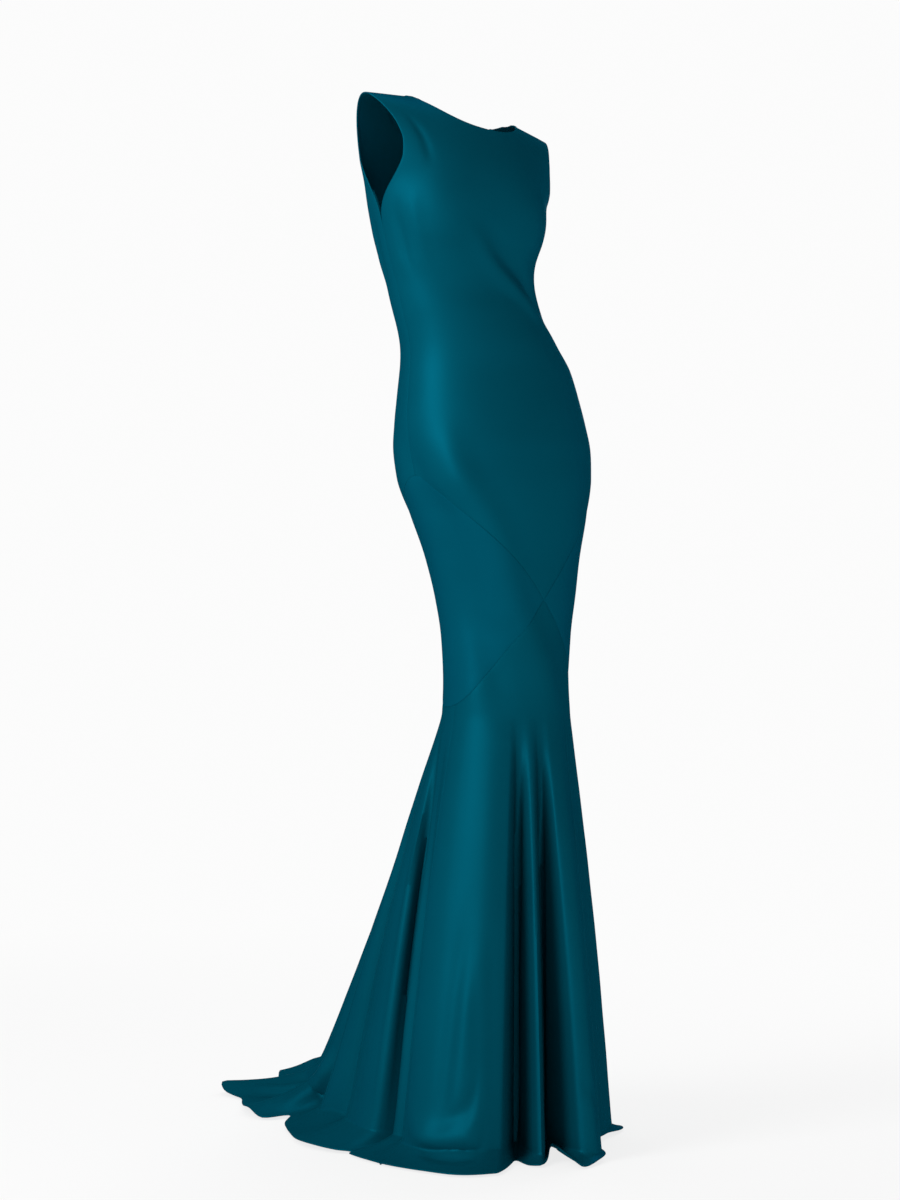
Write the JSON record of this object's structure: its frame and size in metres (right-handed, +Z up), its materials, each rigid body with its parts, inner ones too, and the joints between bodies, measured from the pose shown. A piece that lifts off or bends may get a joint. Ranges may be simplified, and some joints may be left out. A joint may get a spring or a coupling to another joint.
{
  "type": "long dress",
  "caption": "Sleeveless long dress with a boat neck, fitted down to the knee with crossed seams over the hips, then flared in deep folds to a train that lies on the floor behind.",
  "frame": {"origin": "midway between the two shoulder seams, where the dress hangs from the shoulders", "axes": "+Z up, the wearer's front to -Y and the wearer's left to +X"},
  "size_m": [0.5068, 0.9392, 1.5633],
  "materials": {
    "satin_body": "deep teal satin with a soft sheen",
    "satin_inset": "deep teal satin with a soft sheen",
    "satin_skirt": "deep teal satin with a soft sheen"
  },
  "bodies": {
    "root": {"front_body": "satin_body", "back_body": "satin_body", "hip_inset_right": "satin_inset", "hip_inset_left": "satin_inset", "skirt_front": "satin_skirt", "skirt_back": "satin_skirt"}
  },
  "joints": []
}
